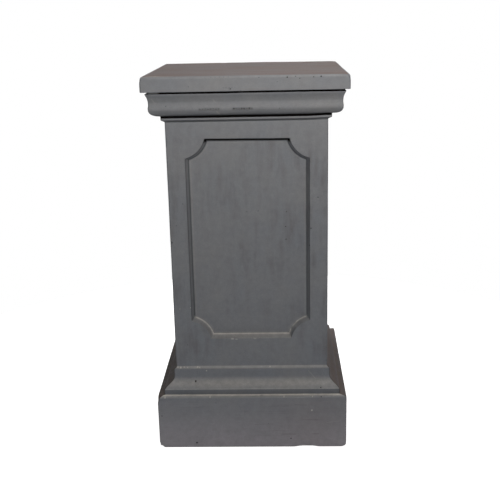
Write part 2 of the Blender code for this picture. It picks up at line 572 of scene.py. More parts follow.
@dataclass
class Panel:
    """Sunk panel with splayed edges and scooped corners, as wide and high as its flat edges reach.

    The ramps and spreads of what lies on it, and of its painted shade and highlight, start from its top or
    foot, or run outwards across its edge.
    Those of the head start from its outline, and the others from the crease at the foot of the splay.
    """

    half: float = 0.1209
    low: float = 0.2278
    high: float = 0.6389
    depth: float = 0.0137
    splay: float = 0.0060
    scoop: float = 0.0385
    bow: float = 0.0080
    arris: float = 0.0011
    crease: float = 0.0016
    floor_rings: tuple[float, ...] = (0.0028, 0.0042)
    splay_cuts: tuple[float, ...] = (0.3, 0.7)
    scoop_steps: int = 18
    overcut: float = 6 * MM
    skim: float = 0.05 * MM
    front_shift: float = 0.0006
    front_slope: float = 0.009
    front_slope_start: Ramp = Ramp(0.45, 0.60)
    front_lean: float = 0.0011
    front_lean_loss: float = 0.5
    # What lies on it, with its painted shade and highlight: shares, and where each sets in or how it thins
    # out.
    top_start: Ramp = Ramp(-10 * MM, -6.5 * MM)
    mitre_slope: float = 0.77
    foot_end: Ramp = Ramp(-0.4 * MM, 0.6 * MM)
    scoop_start: Ramp = Ramp(-MM, MM)
    scoop_sweep: float = 0.8
    scoop_sweep_end: Ramp = Ramp(12 * MM, 26 * MM)
    scoop_thinning: float = 0.6
    splay_dust_and_highlight: float = 0.18
    splay_start: Ramp = Ramp(-1.2 * MM, 0.0)
    splay_head: Ramp = Ramp(-0.2 * MM, 0.8 * MM)
    ceiling_start: Ramp = Ramp(-0.2 * MM, MM)
    ceiling_head: Ramp = Ramp(-1.0 * MM, -0.1 * MM)
    head_shade: Spread = Spread(-0.5 * MM, 0.9 * MM, 0.40)
    crease_shade: Spread = Spread(0.5 * MM, 1.0 * MM, 0.54)
    crease_dust_and_highlight: Spread = Spread(0.6 * MM, 1.0 * MM, 0.45)
    floor_dust: Spread = Spread(-2.8 * MM, 1.2 * MM, 0.08)

    def scoop_radius(self) -> float:
        """Radius of the arc that scoops out a corner."""
        half_chord = self.scoop / sqrt(2)
        return (half_chord ** 2 + self.bow ** 2) / (2 * self.bow)

    def outset(self) -> float:
        """How far outside the corner, each way, the middle of its arc lies."""
        return (self.scoop_radius() - self.bow - self.scoop / sqrt(2)) / sqrt(2)

    def outline(self, growth: float) -> Profile:
        """Outline of the panel, larger all round by the growth.

        Args:
            growth: How much larger, or smaller where it is negative.

        Returns:
            Points (across, up) in order round it.
        """
        outset = self.outset()
        reach = self.scoop_radius() - growth
        tilt = asin((outset - growth) / reach)
        sweep = pi / 2 - 2 * tilt
        points = []
        for quarter in range(4):
            middle_x = self.half + outset if quarter in (0, 3) else -self.half - outset
            middle_z = self.high + outset if quarter in (0, 1) else self.low - outset
            start = (quarter - 1) * pi / 2 - tilt
            for step in range(self.scoop_steps + 1):
                angle = start - sweep * step / self.scoop_steps
                points.append((middle_x + reach * cos(angle), middle_z + reach * sin(angle)))
        return points

    def drift(self, across: float, up: float) -> tuple[float, float]:
        """How far a place of the front's panel strays, whose pattern was set a little askew.

        Args:
            across: Place across the side.
            up: Its height.

        Returns:
            How far it strays across and up.
        """
        upright = 1.0 - self.front_lean_loss * rise(up, self.low, self.high)
        leaning = rise(across, self.half / 2, self.half) * upright
        sloping = -self.front_slope * (across + self.half) * self.front_slope_start.at(up)
        return self.front_shift - self.front_lean * leaning, sloping

    def beyond(self, across: float, up: float) -> float:
        """Distance of a point outside the outline.

        Args:
            across: Place across the side.
            up: Its height.

        Returns:
            The distance, which is negative inside the outline.
        """
        flat = max(abs(across) - self.half, self.low - up, up - self.high)
        middle = Vector((self.half + self.outset(), self.high + self.outset()))
        away = min(
            (Vector((abs(across), up)) - middle).length,
            (Vector((abs(across), self.low + self.high - up)) - middle).length)
        return max(flat, self.scoop_radius() - away)

    def section(self, face: float) -> Profile:
        """Section through the panel's edge, from the face down to the floor.

        Args:
            face: Distance of the die's face from the middle.

        Returns:
            Points (growth of the outline, distance from the middle).
        """
        edge = [
            (self.overcut, face + self.skim), (0.0, face + self.skim), (-self.splay, face - self.depth),
            (-self.splay - self.floor_rings[0], face - self.depth)]
        arris = softened(edge[:3], self.arris)[1:-1]
        crease = softened(edge[1:], self.crease)[1:-1]
        between = [Vector(arris[-1]).lerp(Vector(crease[0]), share).to_tuple() for share in self.splay_cuts]
        floor = [(-self.splay - offset, face - self.depth) for offset in self.floor_rings]
        return [(arris[0][0] + self.overcut, face + self.overcut), *arris, *between, *crease, *floor]

    def stains(self, across: float, up: float) -> Stains:
        """What lies on and beside the panel's edge: painted shade in dark lines along its edge and crease,
        black on the ceiling under its top, and dust with painted highlight along its foot.

        Args:
            across: Place across the side.
            up: Its height.

        Returns:
            The shares of each stain there.
        """
        edge = self.beyond(across, up)
        crease = edge + self.splay
        top = self.top_start.at(up - self.high)
        mitre = self.low + self.scoop + self.mitre_slope * min(self.splay, max(0.0, -edge))
        scooped = self.scoop_start.at(abs(across) - self.half + self.scoop)
        washed = self.scoop_sweep * scooped * (across > 0) * (1 - self.scoop_sweep_end.at(up - self.low))
        foot = (1 - self.foot_end.at(up - mitre)) * (1 - washed)
        splayed = self.splay_start.at(crease) * (1 - self.splay_head.at(edge))
        ceiling = self.ceiling_start.at(crease) * (1 - self.ceiling_head.at(edge))
        # Painted shade: dark lines along the edge and the crease, black on the ceiling under the top. Dust
        # with painted highlight lies along the foot.
        line = max(self.head_shade.at(edge), self.crease_shade.at(crease))
        dust = self.splay_dust_and_highlight * splayed * (1 - self.scoop_thinning * scooped) + self.crease_dust_and_highlight.at(crease)
        return {
            Stain.GRIME: max(line * (1 - foot), top * ceiling),
            Stain.DUST: max(foot * dust, self.floor_dust.at(crease) * (1 - top))}


@dataclass
class Core:
    """Hollow inside the casting, which its core left when it was drawn out downwards."""

    die_half: float = 0.123
    plinth_half: float = 0.170
    roof: float = 0.730
    shoulder: float = 0.092
    slope: float = radians(50)
    draft: float = 0.003
    corner_round: float = 0.012

    def section(self) -> Profile:
        """Section of the hollow.

        Returns:
            Points (half width, height), from its roof down to the foot.
        """
        return [
            (self.die_half - self.draft, self.roof),
            (self.die_half, self.shoulder + (self.plinth_half - self.die_half) * tan(self.slope)),
            (self.plinth_half, self.shoulder),
            (self.plinth_half, 0.0)]

    def holds(self, point: Vector) -> bool:
        """Whether a point lies inside the hollow or on its wall.

        Args:
            point: The point.

        Returns:
            Whether it does.
        """
        section = self.section()
        slack = 0.5 * MM
        if point.z > self.roof + slack:
            return False
        reach = max(abs(point.x), abs(point.y))
        for (high_half, high), (low_half, low) in zip(section, section[1:]):
            if low <= point.z <= high:
                return reach <= low_half + (high_half - low_half) * (point.z - low) / (high - low) + slack
        return reach <= section[0][0] + slack


@dataclass
class Mark:
    """A small mark on a side, in millimetres. Its place is across the side and up, or along Y on the top."""

    kind: Blemish
    face: Face
    across: float
    up: float
    width: float = 2.6
    length: float = 0.0
    lean: float = 0.0
    strength: float = 1.0

    def directions(self) -> tuple[Vector, Vector, Vector]:
        """The mark's own directions.

        Returns:
            The directions along the mark, across it, and into the stone.
        """
        turn = self.face.turn()
        right = turn @ Vector((1.0, 0.0, 0.0))
        above, inwards = Vector((0.0, 0.0, 1.0)), turn @ Vector((0.0, 1.0, 0.0))
        if self.face is Face.TOP:
            above, inwards = Vector((0.0, 1.0, 0.0)), Vector((0.0, 0.0, -1.0))
        along = right * cos(self.lean) + above * sin(self.lean)
        return along, along.cross(inwards), inwards

    def start(self) -> Vector:
        """Where to look for the mark from.

        Returns:
            A point straight outside the mark, a metre from the pedestal's middle.
        """
        inwards = self.directions()[2]
        if self.face is Face.TOP:
            return Vector((self.across * MM, self.up * MM, 0.0)) - inwards
        return self.face.turn() @ Vector((self.across * MM, 0.0, self.up * MM)) - inwards

    def cuts(self, place: Vector) -> list[tuple[Vector, Vector]]:
        """Planes (point, normal) that cut the face finely enough to hold the mark.

        Args:
            place: The mark's middle on the face.

        Returns:
            The planes.
        """
        along, aside, _ = self.directions()
        radius = self.width * MM / 2
        reach = self.length * MM / 2 + radius
        planes = [(place + aside * radius * share, aside) for share in (-1.0, -0.5, 0.0, 0.5, 1.0)]
        fewest, spacing = 4, 1.5 * MM
        count = fewest if self.length == 0 else max(fewest, round(reach / spacing))
        return planes + [
            (place + along * reach * (2 * step / count - 1), along) for step in range(count + 1)]

    def share(self, place: Vector, point: Vector) -> float:
        """How much of the mark a point near it has.

        Args:
            place: The mark's middle on the face.
            point: The point.

        Returns:
            The share, from none to all.
        """
        along, aside, _ = self.directions()
        offset = point - place
        past = max(0.0, abs(offset.dot(along)) - self.length * MM / 2)
        away = sqrt(past ** 2 + offset.dot(aside) ** 2) / (self.width * MM / 2)
        return max(0.0, 1 - away ** 2) ** 1.5 if away < 1 else 0.0


@dataclass
class Dent:
    """Worn or chipped spot, where the surface is pushed along a direction, all in millimetres."""

    place: tuple[float, float, float]
    radius: float
    push: tuple[float, float, float]

    def press(self, corners: Any) -> None:
        """Push the corners near it, most of all in its middle.

        Args:
            corners: The casting's outer corners.
        """
        middle, push, radius = Vector(self.place) * MM, Vector(self.push) * MM, self.radius * MM
        for corner in corners:
            away = (corner.co - middle).length
            if away < radius:
                corner.co += push * (1 - (away / radius) ** 2) ** 2


@dataclass
class Weathering:
    """How far the casting's surface strays from the true one, and its holes, scratches and worn spots.

    The first ten of the worn spots show in the photograph. The others wear the hidden corners likewise.
    """

    broad_length: float = 0.070
    broad_depth: float = 0.00022
    fine_length: float = 0.014
    fine_depth: float = 0.00007
    fine_offset: tuple[float, float, float] = (7.0, 3.0, 5.0)
    top_fall: float = 0.0065
    top_fall_from: float = 0.735
    foot_slack: float = 0.2 * MM
    patch: float = 0.001
    cut_merge: float = 0.08 * MM
    sewing_merge: float = 0.005 * MM
    stain_gain: float = 1.6
    faint_depth: float = 0.2
    seed: int = 11
    dents: tuple[Dent, ...] = (
        Dent((-195.5, -195.5, 760), 13, (1.5, 1.5, -1.2)),
        Dent((195.5, -195.5, 760), 15, (-2.2, 1.6, -2.0)),
        Dent((-174.5, -185.5, 731.2), 11, (0.0, -4.0, 0.0)),
        Dent((158, -160, 671.5), 42, (0.0, 0.0, 1.4)),
        Dent((-194, -194, 114), 15, (2.4, 1.2, -2.4)),
        Dent((-194, -194, 0), 11, (4.4, 1.4, 3.4)),
        Dent((194, -194, 0), 9, (-2.4, 1.0, 2.0)),
        Dent((99, -194, 0), 13, (0.0, 1.0, 1.5)),
        Dent((113, -194, 0), 15, (0.0, 1.2, 1.7)),
        Dent((126, -194, 0), 12, (0.0, 1.0, 1.3)),
        Dent((195.5, 195.5, 760), 14, (-2.4, -2.4, -2.2)),
        Dent((-195.5, 195.5, 732.5), 12, (1.8, -1.8, 1.4)),
        Dent((194, 194, 0), 13, (-3.0, -2.6, 2.6)),
        Dent((-60, 195.5, 760), 9, (0.0, -1.2, -1.2)),
        Dent((194, 40, 114), 8, (-1.4, 0.0, -1.0)))

    def front_marks(self) -> list[Mark]:
        """The marks that the front shows.

        Returns:
            The pinholes and flecks, by place across and up and by width, then the scratches and smudges.
        """
        front = Face.FRONT
        holes = (
            (26.7, 755.5, 2.0), (78.6, 754.8, 3.2), (94.1, 756.0, 2.0), (101.6, 752.5, 2.2),
            (127.1, 754.6, 2.4), (140.7, 755.2, 3.2), (-26.7, 735.5, 2.8), (-104, 741, 1.6), (60, 747, 1.5),
            (-149, 704.6, 2.0), (63.8, 697.4, 1.8), (-152.8, 432, 3.0), (123.1, 458.2, 3.0),
            (120.3, 422.9, 2.4), (136.9, 520.5, 2.4), (-142.8, 466.9, 1.8), (-128.2, 511, 1.8),
            (-131, 214, 1.8), (73.3, 458.9, 2.6), (73.8, 432.8, 2.6), (75, 489, 2.2), (-3.2, 490.1, 2.0),
            (19.2, 491.4, 2.0), (161.9, 146.8, 2.4), (154.1, 177.5, 1.8), (-116.2, 137, 4.0),
            (141.7, 126.6, 2.8), (141.8, 112.6, 2.4), (-186.4, 71.9, 3.0), (-116.2, 10.5, 4.4),
            (79.5, 19.1, 3.2), (-74, 101, 1.8), (33, 53, 1.6))
        # Rows of pinholes, where air was caught under an edge, with their strength last.
        rows = [
            *((-85.6 + 5.0 * step, 697.4 + 0.5 * (step % 3), 2.8, 0.6) for step in range(8)),
            *((-21.6 + 4.8 * step, 698.0, 3.4 if step in (0, 3, 4, 6) else 2.2, 0.9) for step in range(8)),
            *((-128 + 14.0 * step, 699.0, 1.6, 0.4) for step in range(3)),
            *((-62 + 8.0 * step, 757.2, 1.9, 0.5) for step in range(5)),
            *((-40 + 5.5 * step, 738.0, 1.7, 0.5) for step in range(5))]
        flecks = (
            (-121.6, 294.8, 2.4), (-143.5, 292.4, 2.0), (-93.6, 158.2, 3.2), (122.8, 83, 4.2),
            (-85.5, 113.2, 3.6), (-153, 165, 3.4), (-147, 164.5, 4.6), (-140, 165, 3.0), (-133, 164.6, 2.6),
            (-112, 165, 4.2), (-107.5, 164.4, 3.0), (38, 165, 3.2), (-178, 112.8, 4.0), (66, 113, 3.0),
            (124, 113, 2.6))
        return [
            *(Mark(Blemish.PINHOLE, front, across, up, width) for across, up, width in holes),
            *(Mark(Blemish.PINHOLE, front, *row[:3], strength=row[3]) for row in rows),
            *(Mark(Blemish.FLECK, front, across, up, width, strength=0.4) for across, up, width in flecks),
            Mark(Blemish.SCRATCH, front, -172.1, 714, 2.4, 11, radians(-52), 0.05),
            Mark(Blemish.SCRATCH, front, -57.6, 712.7, 2.4, 9, radians(-50), 0.04),
            Mark(Blemish.SCRATCH, front, -51.4, 690.5, 2.2, 7, radians(-50), 0.10),
            Mark(Blemish.SCRATCH, front, 123.9, 148.5, 2.0, 22, radians(-50), 0.09),
            Mark(Blemish.SMUDGE, front, -68, 697.5, 8.0, 36, 0.0, 0.18),
            Mark(Blemish.SMUDGE, front, -5, 697.5, 7.0, 34, 0.0, 0.24),
            Mark(Blemish.SMUDGE, front, 74.5, 29, 2.0, 29, 0.0, 0.24),
            Mark(Blemish.SMUDGE, front, 131, 29.5, 2.0, 14, 0.0, 0.28),
            Mark(Blemish.SMUDGE, front, 24, 52, 1.8, 40, radians(1), 0.16),
            Mark(Blemish.SMUDGE, front, 118, 62, 1.8, 34, radians(2), 0.16),
            Mark(Blemish.SMUDGE, front, 100, 95, 1.6, 26, radians(-3), 0.2),
            Mark(Blemish.SCRATCH, front, 168, 57, 1.6, 30, radians(8), 0.07),
            Mark(Blemish.FLECK, front, -38, 226.4, 3.6, 4, 0.0, 0.28),
            Mark(Blemish.FLECK, front, -30, 225.6, 3.0, 3, 0.0, 0.24),
            Mark(Blemish.FLECK, front, 8, 226.6, 3.0, 4, 0.0, 0.2),
            # Pale marks in a row along the worn front edge of the top, at its left.
            *(Mark(
                Blemish.SCRATCH, Face.TOP, -186 + 8 * step, -187.5 + 0.9 * (step % 3), 7.5, 6, 0.0, strength)
              for step, strength in enumerate((0.22, 0.42, 0.5, 0.42, 0.26, 0.16, 0.08)))]

    def other_marks(self) -> list[Mark]:
        """Strew pinholes and flecks over the hidden sides and the top, fewer and plainer than the front's.

        Returns:
            The marks.
        """
        dice = Random(self.seed)
        marks = []
        for face in (Face.RIGHT, Face.BACK, Face.LEFT):
            for _ in range(16):
                marks.append(Mark(
                    Blemish.PINHOLE, face, dice.uniform(-180, 180), dice.uniform(12, 752),
                    dice.uniform(1.6, 3.2)))
            for _ in range(3):
                marks.append(Mark(
                    Blemish.FLECK, face, dice.uniform(-170, 170), dice.uniform(20, 750),
                    dice.uniform(2.0, 3.4), strength=0.6))
        for _ in range(14):
            marks.append(Mark(
                Blemish.PINHOLE, Face.TOP, dice.uniform(-180, 180), dice.uniform(-180, 180),
                dice.uniform(1.6, 3.4), strength=0.7))
        return marks

    def roughen(self, shape: bmesh.types.BMesh, skin: set[int], height: float) -> None:
        """Let the faces wander inwards a little, as a cast face does, and the top fall off to the right.

        The underside stays flat.

        Args:
            shape: The casting.
            skin: Indices of the corners that the outside has.
            height: The casting's height.
        """
        shape.normal_update()
        shape.verts.ensure_lookup_table()
        moves = {}
        for index in skin:
            corner = shape.verts[index]
            if corner.co.z < self.foot_slack:
                continue
            broad = 1 + noise.noise(corner.co / self.broad_length)
            fine = 1 + noise.noise(corner.co / self.fine_length + Vector(self.fine_offset))
            depth = self.broad_depth * broad + self.fine_depth * fine
            moves[index] = corner.normal * -depth
        for index, move in moves.items():
            place = shape.verts[index].co + move
            place.z -= self.top_fall * max(0.0, place.x) * rise(place.z, self.top_fall_from, height)
            place.z = min(height, max(0.0, place.z))
            shape.verts[index].co = place

    def cut_marks(self, shape: bmesh.types.BMesh) -> None:
        """Cut the small marks into the faces where they lie.

        The faces round the marks are lifted off into a small mesh of their own, which is quick to cut, with
        one more row of faces that keeps its outer edges whole, and are then sewn back in.

        Args:
            shape: The casting.
        """
        shape.faces.ensure_lookup_table()
        tree = BVHTree.FromBMesh(shape)
        patches: list[tuple[set[int], list[tuple[Mark, Vector]]]] = []
        for mark in self.front_marks() + self.other_marks():
            place = tree.ray_cast(mark.start(), mark.directions()[2])[0]
            if place is None:
                continue
            reach = (mark.length + mark.width) * MM / 2 + self.patch
            near = {found[2] for found in tree.find_nearest_range(place, reach)}
            members = [(mark, place)]
            for patch in [patch for patch in patches if patch[0] & near]:
                near |= patch[0]
                members = patch[1] + members
                patches.remove(patch)
            patches.append((near, members))
        marked = shape.faces.layers.int.new("patch")
        for number, (near, _) in enumerate(patches):
            for index in near:
                shape.faces[index][marked] = number + 1
        inner = [face for face in shape.faces if face[marked] > 0]
        lifted = list({beside for face in inner for corner in face.verts for beside in corner.link_faces})
        patchwork = bmesh.new()
        for stain in Stain:
            patchwork.verts.layers.float.new(stain.value)
        patchwork.faces.layers.int.new("patch")
        copy_faces(shape, lifted, patchwork)
        bmesh.ops.delete(shape, geom=lifted, context="FACES")
        self.carve(patchwork, [members for _, members in patches])
        copy_faces(patchwork, list(patchwork.faces), shape)
        patchwork.free()
        hems = {corner for edge in shape.edges if edge.is_boundary for corner in edge.verts}
        bmesh.ops.remove_doubles(shape, verts=list(hems), dist=self.sewing_merge)
        shape.faces.layers.int.remove(shape.faces.layers.int["patch"])
        LOG.info("cut %d marks in %d patches", sum(len(members) for _, members in patches), len(patches))

    def carve(self, patchwork: bmesh.types.BMesh, patches: list[list[tuple[Mark, Vector]]]) -> None:
        """Cut each patch where its marks need it, and press and stain them in.

        Args:
            patchwork: The faces round the marks.
            patches: The marks of each patch, with their places.
        """
        marked = patchwork.faces.layers.int["patch"]
        layers = {stain: patchwork.verts.layers.float[stain.value] for stain in Stain}
        faces: dict[int, list[bmesh.types.BMFace]] = {}
        for face in patchwork.faces:
            faces.setdefault(face[marked], []).append(face)
        for number, members in enumerate(patches):
            geom = around(faces[number + 1])
            for mark, place in members:
                for point, normal in mark.cuts(place):
                    geom = bmesh.ops.bisect_plane(
                        patchwork, geom=geom, dist=self.cut_merge, plane_co=point, plane_no=normal)["geom"]
            for corner in [item for item in geom if isinstance(item, bmesh.types.BMVert)]:
                spot = corner.co.copy()
                # Pinholes take grime and painted shade, smudges take grime, and scratches and flecks bare
                # stone.
                for mark, place in members:
                    share = mark.share(place, spot)
                    layer = layers[mark.kind.stain()]
                    corner[layer] = max(corner[layer], min(1.0, self.stain_gain * share) * mark.strength)
                    depth = share * mark.kind.depth() * mark.width * MM / 2
                    corner.co += mark.directions()[2] * depth * min(1.0, mark.strength + self.faint_depth)


@dataclass
class Casting:
    """The whole pedestal, one hollow casting in stone."""

    die_width: float = 0.3134
    corner_round: float = 0.003
    corner_steps: int = 4
    cell: float = 0.006
    cut_merge: float = 0.1 * MM
    skin_merge: float = 0.08 * MM
    arris: float = 0.0010
    # Painted shade along the rounded upright corners, where the face turns away.
    arris_shade: float = 0.6
    arris_edge: Ramp = Ramp(-2.6 * MM, -1.0 * MM)
    arris_top: float = 0.5
    # Faces whose corners are all painted darker than this take the black painted shade.
    black_shade_from: float = 0.9
    crease_angle: float = radians(35)
    base: Base = field(default_factory=Base)
    cap: Cap = field(default_factory=Cap)
    panel: Panel = field(default_factory=Panel)
    core: Core = field(default_factory=Core)
    wear: Weathering = field(default_factory=Weathering)

    def outside(self) -> Profile:
        """Section of the outside, from the foot to the top, with sharp corners."""
        die = self.die_width / 2
        return self.base.section(die) + self.cap.section(die)

    def ring(self, half: float, height: float, radius: float) -> list[Vector]:
        """Corners of a level square with rounded corners.

        Args:
            half: Half its width.
            height: Its height above the ground.
            radius: Radius of its corners.

        Returns:
            Its points in order round it.
        """
        points = []
        for quarter in range(4):
            diagonal = pi / 4 + quarter * pi / 2
            middle = Vector((cos(diagonal), sin(diagonal), 0.0)) * (half - radius) * sqrt(2)
            for step in range(self.corner_steps + 1):
                angle = (quarter + step / self.corner_steps) * pi / 2
                points.append(middle + Vector((radius * cos(angle), radius * sin(angle), height)))
        return points

    @staticmethod
    def loft(rings: list[list[Vector]]) -> bmesh.types.BMesh:
        """Close one body over rings of as many points, by extruding a face from each to the next.

        Args:
            rings: The rings, in order.

        Returns:
            The body.
        """
        shape = bmesh.new()
        bmesh.ops.create_circle(shape, cap_ends=True, segments=len(rings[0]), radius=1.0)
        shape.faces.ensure_lookup_table()
        face = shape.faces[0]
        for corner, point in zip(face.verts, rings[0], strict=True):
            corner.co = point
        for number, ring in enumerate(rings[1:]):
            made = bmesh.ops.extrude_face_region(shape, geom=[face])["geom"]
            if number > 0:
                bmesh.ops.delete(shape, geom=[face], context="FACES_ONLY")
            face = next(item for item in made if isinstance(item, bmesh.types.BMFace))
            for corner, point in zip(face.verts, ring, strict=True):
                corner.co = point
        bmesh.ops.recalc_face_normals(shape, faces=shape.faces)
        return shape

    def block(self) -> bpy.types.Object:
        """Make the casting before its panels are sunk, with the hollow's faces in their own material.

        Returns:
            The block's object.
        """
        inside = [self.ring(half, height, self.core.corner_round) for half, height in self.core.section()]
        outside = softened(self.outside(), self.arris)
        shape = self.loft(inside + [self.ring(half, height, self.corner_round) for half, height in outside])
        for face in shape.faces:
            if self.core.holds(face.calc_center_median()):
                face.material_index = Finish.RAW
        return new_object("casting_block", shape)

    def cutter(self, face: Face) -> bpy.types.Object:
        """Make the cutter that sinks the panel into one side.

        Args:
            face: The side.

        Returns:
            The cutter's object.
        """
        turn = face.turn()
        rings = []
        for growth, reach in self.panel.section(self.die_width / 2):
            ring = []
            for across, up in self.panel.outline(growth):
                aside, above = self.panel.drift(across, up) if face is Face.FRONT else (0.0, 0.0)
                ring.append(turn @ Vector((across + aside, -reach, up + above)))
            rings.append(ring)
        return new_object(f"panel_cutter_{face.name.lower()}", self.loft(rings))

    def sunk(self, stone: bpy.types.Material, raw: bpy.types.Material) -> bmesh.types.BMesh:
        """Sink the four panels into the block.

        Args:
            stone: The outside's material.
            raw: The hollow's material.

        Returns:
            The casting with its panels.
        """
        block = self.block()
        block.data.materials.append(stone)
        block.data.materials.append(raw)
        cutters = [self.cutter(face) for face in Face if face is not Face.TOP]
        for cutter in cutters:
            cut = block.modifiers.new(cutter.name, "BOOLEAN")
            cut.operation = "DIFFERENCE"
            cut.solver = "EXACT"
            cut.object = cutter
        graph = bpy.context.evaluated_depsgraph_get()
        mesh = bpy.data.meshes.new_from_object(block.evaluated_get(graph))
        shape = bmesh.new()
        shape.from_mesh(mesh)
        bpy.data.meshes.remove(mesh)
        for thing in [block, *cutters]:
            spare = thing.data
            bpy.data.objects.remove(thing)
            bpy.data.meshes.remove(spare)
        return shape

    def slice_skin(self, shape: bmesh.types.BMesh) -> None:
        """Cut the outside into small cells, so that it can wander and hold its marks.

        Args:
            shape: The casting.
        """
        half = self.cap.width / 2
        for axis, low, high in ((2, 0.0, self.cap.height), (0, -half, half), (1, -half, half)):
            normal = Vector((0.0, 0.0, 0.0))
            normal[axis] = 1.0
            count = round((high - low) / self.cell)
            geom = around([face for face in shape.faces if face.material_index == Finish.STONE])
            for number in range(1, count):
                place = normal * (low + (high - low) * number / count)
                geom = bmesh.ops.bisect_plane(
                    shape, geom=geom, dist=self.cut_merge, plane_co=place, plane_no=normal)["geom"]
        bmesh.ops.remove_doubles(shape, verts=shape.verts, dist=self.skin_merge)

    def stains(self, place: Vector) -> Stains:
        """What lies on the outside at a place, with its painted shade and highlight.

        Args:
            place: The place.

        Returns:
            The shares of each stain there.
        """
        across, out = (place.x, abs(place.y)) if abs(place.x) < abs(place.y) else (place.y, abs(place.x))
        aside = abs(place.x) >= abs(place.y)
        half, die = max(abs(across), out), self.die_width / 2
        if place.z > self.cap.height - self.cap.flat_from * self.cap.top_round:
            return self.cap.top_stains(half, place.x)
        if place.z > self.cap.die_top() + self.cap.chamfer_start.low:
            found = self.cap.stains(half, place.z, die)
            # A real smear fills the quirk here, so its black painted shade is thinner.
            smeared = place.y < 0 and self.cap.smear[0] < place.x < self.cap.smear[1]
            if smeared and place.z > self.cap.bed_top() - MM:
                found[Stain.GRIME] = self.cap.smear_thinning * found.get(Stain.GRIME, 0.0)
            return found
        if place.z > self.base.top + self.base.slope_end.high:
            strayed, raised = (0.0, 0.0) if aside or place.y > 0 else self.panel.drift(across, place.z)
            found = self.panel.stains(across - strayed, place.z - raised)
            if aside:
                above = place.z - self.base.top
                found[Stain.CLAY] = self.base.splash_clay.at(above)
                found[Stain.GRIME] = max(found[Stain.GRIME], self.base.splash_grime.at(above))
            return found
        found = self.base.stains(half, place.z, die)
        self.base.muddy(found, place, aside)
        return found

    def weather(self, shape: bmesh.types.BMesh) -> None:
        """Lay the stains, with the painted shade and highlight, on the outside, and cut its marks.

        Args:
            shape: The casting.
        """
        layers = {stain: shape.verts.layers.float.new(stain.value) for stain in Stain}
        outside = {
            corner
            for face in shape.faces if face.material_index == Finish.STONE for corner in face.verts}
        for corner in outside:
            for stain, share in self.stains(corner.co).items():
                corner[layers[stain]] = share
            # Painted shade along the rounded upright corners, but not on the top's brow.
            near, far = sorted((abs(corner.co.x), abs(corner.co.y)))
            arris = self.arris_shade * self.arris_edge.at(near - far)
            if corner.co.z > self.cap.height - self.arris_top * self.cap.top_round:
                arris = 0.0
            corner[layers[Stain.FILM]] = max(corner[layers[Stain.FILM]], arris)
        for dent in self.wear.dents:
            dent.press(outside)
        self.wear.cut_marks(shape)

    def blacken(self, shape: bmesh.types.BMesh) -> None:
        """Give the faces painted nearly black their own black material: painted shade in the creases, and
        painted shade with some dirt in the pinholes.

        Args:
            shape: The casting.
        """
        grime = shape.verts.layers.float[Stain.GRIME.value]
        for face in shape.faces:
            # Faces painted nearly black all over take the black painted shade.
            packed = min(corner[grime] for corner in face.verts) > self.black_shade_from
            if packed and face.material_index == Finish.STONE:
                face.material_index = Finish.DIRT

    def build(
            self, stone: bpy.types.Material, raw: bpy.types.Material,
            dirt: bpy.types.Material) -> bpy.types.Object:
        """Make the finished casting.

        Args:
            stone: The outside's material.
            raw: The hollow's material.
            dirt: The black material of the painted shade in the creases and pits, with some dirt in the
                pinholes.

        Returns:
            The casting's object.
        """
        shape = self.sunk(stone, raw)
        self.slice_skin(shape)
        LOG.info("casting has %d faces after slicing, %d triangles", len(shape.faces), triangles(shape))
        skin = {
            corner.index
            for face in shape.faces if face.material_index == Finish.STONE for corner in face.verts}
        self.wear.roughen(shape, skin, self.cap.height)
        self.weather(shape)
        LOG.info("casting has %d triangles, %d open edges", triangles(shape), sum(
            not edge.is_manifold for edge in shape.edges))
        self.blacken(shape)
        many_sided = [face for face in shape.faces if len(face.verts) > 4]
        bmesh.ops.triangulate(shape, faces=many_sided, quad_method="BEAUTY", ngon_method="BEAUTY")
        casting = new_object("pedestal_casting", shape)
        for material in (stone, raw, dirt):
            casting.data.materials.append(material)
        casting.data.shade_smooth()
        casting.data.set_sharp_from_angle(angle=self.crease_angle)
        weigh = casting.modifiers.new("weighted_normals", "WEIGHTED_NORMAL")
        weigh.keep_sharp = True
        return casting


def copy_faces(source: bmesh.types.BMesh, faces: list[bmesh.types.BMFace], target: bmesh.types.BMesh) -> None:
    """Copy faces into another mesh, with their patch numbers and the stains at their corners.

    Args:
        source: The mesh that they are in.
        faces: The faces.
        target: The mesh that they go in, which has the same layers.
    """
    layers = [
        (source.verts.layers.float[stain.value], target.verts.layers.float[stain.value]) for stain in Stain]
    source_patch, target_patch = source.faces.layers.int["patch"], target.faces.layers.int["patch"]
    made: dict[bmesh.types.BMVert, bmesh.types.BMVert] = {}
    for face in faces:
        for corner in face.verts:
            if corner not in made:
                made[corner] = target.verts.new(corner.co)
                for source_layer, target_layer in layers:
                    made[corner][target_layer] = corner[source_layer]
        fresh = target.faces.new([made[corner] for corner in face.verts])
        fresh.material_index = face.material_index
        fresh[target_patch] = face[source_patch]


def triangles(shape: bmesh.types.BMesh) -> int:
    """Number of triangles that a shape's faces make."""
    return sum(len(face.verts) - 2 for face in shape.faces)


def around(faces: list[bmesh.types.BMFace]) -> list[Any]:
    """Gather faces with all their edges and corners, as the cutting operator takes them.

    Args:
        faces: The faces.

    Returns:
        The corners, the edges and the faces.
    """
    edges = {edge for face in faces for edge in face.edges}
    corners = {corner for face in faces for corner in face.verts}
    return [*corners, *edges, *faces]


def new_object(name: str, shape: bmesh.types.BMesh) -> bpy.types.Object:
    """Put a finished shape in the scene.

    Args:
        name: The object's name.
        shape: Its shape, which is freed.

    Returns:
        The object.
    """
    mesh = bpy.data.meshes.new(name)
    shape.to_mesh(mesh)
    shape.free()
    thing = bpy.data.objects.new(name, mesh)
    bpy.context.scene.collection.objects.link(thing)
    return thing


